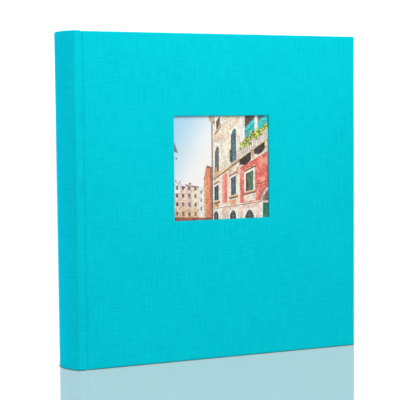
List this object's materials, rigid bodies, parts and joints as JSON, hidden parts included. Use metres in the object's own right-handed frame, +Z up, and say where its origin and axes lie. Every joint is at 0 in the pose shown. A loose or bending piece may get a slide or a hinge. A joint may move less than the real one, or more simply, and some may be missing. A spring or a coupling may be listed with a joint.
{
  "type": "scrapbook album",
  "caption": "Cloth-bound scrapbook album with a rounded spine, a square picture window in the front cover, and thick leaves that fan out as its covers open.",
  "frame": {"origin": "middle of the base of the album's box, on the surface that it stands on", "axes": "+Z up the spine, +X from the spine to the fore-edge, +Y from the front cover to the back cover"},
  "size_m": [0.3, 0.048, 0.3105],
  "materials": {
    "book_cloth": "fine linen weave, matt",
    "greyboard": "matt",
    "backing_card": "matt",
    "photo_print": "semi-gloss",
    "endpaper": "matt",
    "leaf_card": "matt",
    "guard_card": "matt",
    "glassine": "translucent, satin",
    "mull": "open cotton gauze",
    "lining_paper": "matt kraft",
    "band_cotton": "fine rib"
  },
  "bodies": {
    "spine": {"spine_inlay": "backing_card", "spine_cloth": "book_cloth", "guard_strips": "guard_card", "leaf_roots": "leaf_card", "endpaper_folds": "endpaper", "spine_mull": "mull", "spine_paper": "lining_paper", "head_band": "band_cotton", "tail_band": "band_cotton"},
    "front_cover": {"front_board": "greyboard", "window_backing": "backing_card", "cover_photo": "photo_print", "front_cloth": "book_cloth", "front_pastedown": "endpaper"},
    "back_cover": {"back_board": "greyboard", "back_card": "backing_card", "back_cloth": "book_cloth", "back_pastedown": "endpaper"},
    "front_flyleaf": {"front_flyleaf": "endpaper"},
    "back_flyleaf": {"back_flyleaf": "endpaper"},
    "leaf_01": {"leaf_01": "leaf_card"},
    "leaf_02": {"leaf_02": "leaf_card"},
    "leaf_03": {"leaf_03": "leaf_card"},
    "leaf_04": {"leaf_04": "leaf_card"},
    "leaf_05": {"leaf_05": "leaf_card"},
    "leaf_06": {"leaf_06": "leaf_card"},
    "leaf_07": {"leaf_07": "leaf_card"},
    "leaf_08": {"leaf_08": "leaf_card"},
    "leaf_09": {"leaf_09": "leaf_card"},
    "leaf_10": {"leaf_10": "leaf_card"},
    "leaf_11": {"leaf_11": "leaf_card"},
    "leaf_12": {"leaf_12": "leaf_card"},
    "leaf_13": {"leaf_13": "leaf_card"},
    "leaf_14": {"leaf_14": "leaf_card"},
    "leaf_15": {"leaf_15": "leaf_card"},
    "leaf_16": {"leaf_16": "leaf_card"},
    "leaf_17": {"leaf_17": "leaf_card"},
    "leaf_18": {"leaf_18": "leaf_card"},
    "leaf_19": {"leaf_19": "leaf_card"},
    "leaf_20": {"leaf_20": "leaf_card"},
    "leaf_21": {"leaf_21": "leaf_card"},
    "leaf_22": {"leaf_22": "leaf_card"},
    "leaf_23": {"leaf_23": "leaf_card"},
    "leaf_24": {"leaf_24": "leaf_card"},
    "leaf_25": {"leaf_25": "leaf_card"},
    "leaf_26": {"leaf_26": "leaf_card"},
    "leaf_27": {"leaf_27": "leaf_card"},
    "leaf_28": {"leaf_28": "leaf_card"},
    "leaf_29": {"leaf_29": "leaf_card"},
    "leaf_30": {"leaf_30": "leaf_card"}
  },
  "joints": [
    {"name": "front_cover_hinge", "type": "hinge", "parent": "spine", "child": "front_cover", "pos_m": [-0.1319, -0.0243, 0], "axis": [0, 0, -1], "range_deg": [0, 180]},
    {"name": "back_cover_hinge", "type": "hinge", "parent": "spine", "child": "back_cover", "pos_m": [-0.1319, 0.0243, 0], "axis": [0, 0, 1], "range_deg": [0, 180]},
    {"name": "front_flyleaf_hinge", "type": "hinge", "parent": "spine", "child": "front_flyleaf", "pos_m": [-0.128, -0.0203, 0], "axis": [0, 0, -1], "range_deg": [0, 84]},
    {"name": "back_flyleaf_hinge", "type": "hinge", "parent": "spine", "child": "back_flyleaf", "pos_m": [-0.128, 0.0203, 0], "axis": [0, 0, 1], "range_deg": [0, 84]},
    {"name": "leaf_01_hinge", "type": "hinge", "parent": "spine", "child": "leaf_01", "pos_m": [-0.128, -0.01963, 0], "axis": [0, 0, -1], "range_deg": [0, 67.5]},
    {"name": "leaf_02_hinge", "type": "hinge", "parent": "spine", "child": "leaf_02", "pos_m": [-0.128, -0.01829, 0], "axis": [0, 0, -1], "range_deg": [0, 63]},
    {"name": "leaf_03_hinge", "type": "hinge", "parent": "spine", "child": "leaf_03", "pos_m": [-0.128, -0.01695, 0], "axis": [0, 0, -1], "range_deg": [0, 58.5]},
    {"name": "leaf_04_hinge", "type": "hinge", "parent": "spine", "child": "leaf_04", "pos_m": [-0.128, -0.01561, 0], "axis": [0, 0, -1], "range_deg": [0, 54]},
    {"name": "leaf_05_hinge", "type": "hinge", "parent": "spine", "child": "leaf_05", "pos_m": [-0.128, -0.01427, 0], "axis": [0, 0, -1], "range_deg": [0, 49.5]},
    {"name": "leaf_06_hinge", "type": "hinge", "parent": "spine", "child": "leaf_06", "pos_m": [-0.128, -0.01293, 0], "axis": [0, 0, -1], "range_deg": [0, 45]},
    {"name": "leaf_07_hinge", "type": "hinge", "parent": "spine", "child": "leaf_07", "pos_m": [-0.128, -0.01159, 0], "axis": [0, 0, -1], "range_deg": [0, 40.5]},
    {"name": "leaf_08_hinge", "type": "hinge", "parent": "spine", "child": "leaf_08", "pos_m": [-0.128, -0.01025, 0], "axis": [0, 0, -1], "range_deg": [0, 36]},
    {"name": "leaf_09_hinge", "type": "hinge", "parent": "spine", "child": "leaf_09", "pos_m": [-0.128, -0.00891, 0], "axis": [0, 0, -1], "range_deg": [0, 31.5]},
    {"name": "leaf_10_hinge", "type": "hinge", "parent": "spine", "child": "leaf_10", "pos_m": [-0.128, -0.00757, 0], "axis": [0, 0, -1], "range_deg": [0, 27]},
    {"name": "leaf_11_hinge", "type": "hinge", "parent": "spine", "child": "leaf_11", "pos_m": [-0.128, -0.00623, 0], "axis": [0, 0, -1], "range_deg": [0, 22.5]},
    {"name": "leaf_12_hinge", "type": "hinge", "parent": "spine", "child": "leaf_12", "pos_m": [-0.128, -0.00489, 0], "axis": [0, 0, -1], "range_deg": [0, 18]},
    {"name": "leaf_13_hinge", "type": "hinge", "parent": "spine", "child": "leaf_13", "pos_m": [-0.128, -0.00355, 0], "axis": [0, 0, -1], "range_deg": [0, 13.5]},
    {"name": "leaf_14_hinge", "type": "hinge", "parent": "spine", "child": "leaf_14", "pos_m": [-0.128, -0.00221, 0], "axis": [0, 0, -1], "range_deg": [0, 9]},
    {"name": "leaf_15_hinge", "type": "hinge", "parent": "spine", "child": "leaf_15", "pos_m": [-0.128, -0.00087, 0], "axis": [0, 0, -1], "range_deg": [0, 4.5]},
    {"name": "leaf_16_hinge", "type": "hinge", "parent": "spine", "child": "leaf_16", "pos_m": [-0.128, 0.00047, 0], "axis": [0, 0, 1], "range_deg": [0, 4.5]},
    {"name": "leaf_17_hinge", "type": "hinge", "parent": "spine", "child": "leaf_17", "pos_m": [-0.128, 0.00181, 0], "axis": [0, 0, 1], "range_deg": [0, 9]},
    {"name": "leaf_18_hinge", "type": "hinge", "parent": "spine", "child": "leaf_18", "pos_m": [-0.128, 0.00315, 0], "axis": [0, 0, 1], "range_deg": [0, 13.5]},
    {"name": "leaf_19_hinge", "type": "hinge", "parent": "spine", "child": "leaf_19", "pos_m": [-0.128, 0.00449, 0], "axis": [0, 0, 1], "range_deg": [0, 18]},
    {"name": "leaf_20_hinge", "type": "hinge", "parent": "spine", "child": "leaf_20", "pos_m": [-0.128, 0.00583, 0], "axis": [0, 0, 1], "range_deg": [0, 22.5]},
    {"name": "leaf_21_hinge", "type": "hinge", "parent": "spine", "child": "leaf_21", "pos_m": [-0.128, 0.00717, 0], "axis": [0, 0, 1], "range_deg": [0, 27]},
    {"name": "leaf_22_hinge", "type": "hinge", "parent": "spine", "child": "leaf_22", "pos_m": [-0.128, 0.00851, 0], "axis": [0, 0, 1], "range_deg": [0, 31.5]},
    {"name": "leaf_23_hinge", "type": "hinge", "parent": "spine", "child": "leaf_23", "pos_m": [-0.128, 0.00985, 0], "axis": [0, 0, 1], "range_deg": [0, 36]},
    {"name": "leaf_24_hinge", "type": "hinge", "parent": "spine", "child": "leaf_24", "pos_m": [-0.128, 0.01119, 0], "axis": [0, 0, 1], "range_deg": [0, 40.5]},
    {"name": "leaf_25_hinge", "type": "hinge", "parent": "spine", "child": "leaf_25", "pos_m": [-0.128, 0.01253, 0], "axis": [0, 0, 1], "range_deg": [0, 45]},
    {"name": "leaf_26_hinge", "type": "hinge", "parent": "spine", "child": "leaf_26", "pos_m": [-0.128, 0.01387, 0], "axis": [0, 0, 1], "range_deg": [0, 49.5]},
    {"name": "leaf_27_hinge", "type": "hinge", "parent": "spine", "child": "leaf_27", "pos_m": [-0.128, 0.01521, 0], "axis": [0, 0, 1], "range_deg": [0, 54]},
    {"name": "leaf_28_hinge", "type": "hinge", "parent": "spine", "child": "leaf_28", "pos_m": [-0.128, 0.01655, 0], "axis": [0, 0, 1], "range_deg": [0, 58.5]},
    {"name": "leaf_29_hinge", "type": "hinge", "parent": "spine", "child": "leaf_29", "pos_m": [-0.128, 0.01789, 0], "axis": [0, 0, 1], "range_deg": [0, 63]},
    {"name": "leaf_30_hinge", "type": "hinge", "parent": "spine", "child": "leaf_30", "pos_m": [-0.128, 0.01923, 0], "axis": [0, 0, 1], "range_deg": [0, 67.5]}
  ],
  "couplings": [
    {"joint": "front_flyleaf_hinge", "follows": "front_cover_hinge", "ratio": 0.46667},
    {"joint": "back_flyleaf_hinge", "follows": "back_cover_hinge", "ratio": 0.46667},
    {"joint": "leaf_01_hinge", "follows": "front_cover_hinge", "ratio": 0.375},
    {"joint": "leaf_02_hinge", "follows": "front_cover_hinge", "ratio": 0.35},
    {"joint": "leaf_03_hinge", "follows": "front_cover_hinge", "ratio": 0.325},
    {"joint": "leaf_04_hinge", "follows": "front_cover_hinge", "ratio": 0.3},
    {"joint": "leaf_05_hinge", "follows": "front_cover_hinge", "ratio": 0.275},
    {"joint": "leaf_06_hinge", "follows": "front_cover_hinge", "ratio": 0.25},
    {"joint": "leaf_07_hinge", "follows": "front_cover_hinge", "ratio": 0.225},
    {"joint": "leaf_08_hinge", "follows": "front_cover_hinge", "ratio": 0.2},
    {"joint": "leaf_09_hinge", "follows": "front_cover_hinge", "ratio": 0.175},
    {"joint": "leaf_10_hinge", "follows": "front_cover_hinge", "ratio": 0.15},
    {"joint": "leaf_11_hinge", "follows": "front_cover_hinge", "ratio": 0.125},
    {"joint": "leaf_12_hinge", "follows": "front_cover_hinge", "ratio": 0.1},
    {"joint": "leaf_13_hinge", "follows": "front_cover_hinge", "ratio": 0.075},
    {"joint": "leaf_14_hinge", "follows": "front_cover_hinge", "ratio": 0.05},
    {"joint": "leaf_15_hinge", "follows": "front_cover_hinge", "ratio": 0.025},
    {"joint": "leaf_16_hinge", "follows": "back_cover_hinge", "ratio": 0.025},
    {"joint": "leaf_17_hinge", "follows": "back_cover_hinge", "ratio": 0.05},
    {"joint": "leaf_18_hinge", "follows": "back_cover_hinge", "ratio": 0.075},
    {"joint": "leaf_19_hinge", "follows": "back_cover_hinge", "ratio": 0.1},
    {"joint": "leaf_20_hinge", "follows": "back_cover_hinge", "ratio": 0.125},
    {"joint": "leaf_21_hinge", "follows": "back_cover_hinge", "ratio": 0.15},
    {"joint": "leaf_22_hinge", "follows": "back_cover_hinge", "ratio": 0.175},
    {"joint": "leaf_23_hinge", "follows": "back_cover_hinge", "ratio": 0.2},
    {"joint": "leaf_24_hinge", "follows": "back_cover_hinge", "ratio": 0.225},
    {"joint": "leaf_25_hinge", "follows": "back_cover_hinge", "ratio": 0.25},
    {"joint": "leaf_26_hinge", "follows": "back_cover_hinge", "ratio": 0.275},
    {"joint": "leaf_27_hinge", "follows": "back_cover_hinge", "ratio": 0.3},
    {"joint": "leaf_28_hinge", "follows": "back_cover_hinge", "ratio": 0.325},
    {"joint": "leaf_29_hinge", "follows": "back_cover_hinge", "ratio": 0.35},
    {"joint": "leaf_30_hinge", "follows": "back_cover_hinge", "ratio": 0.375}
  ]
}
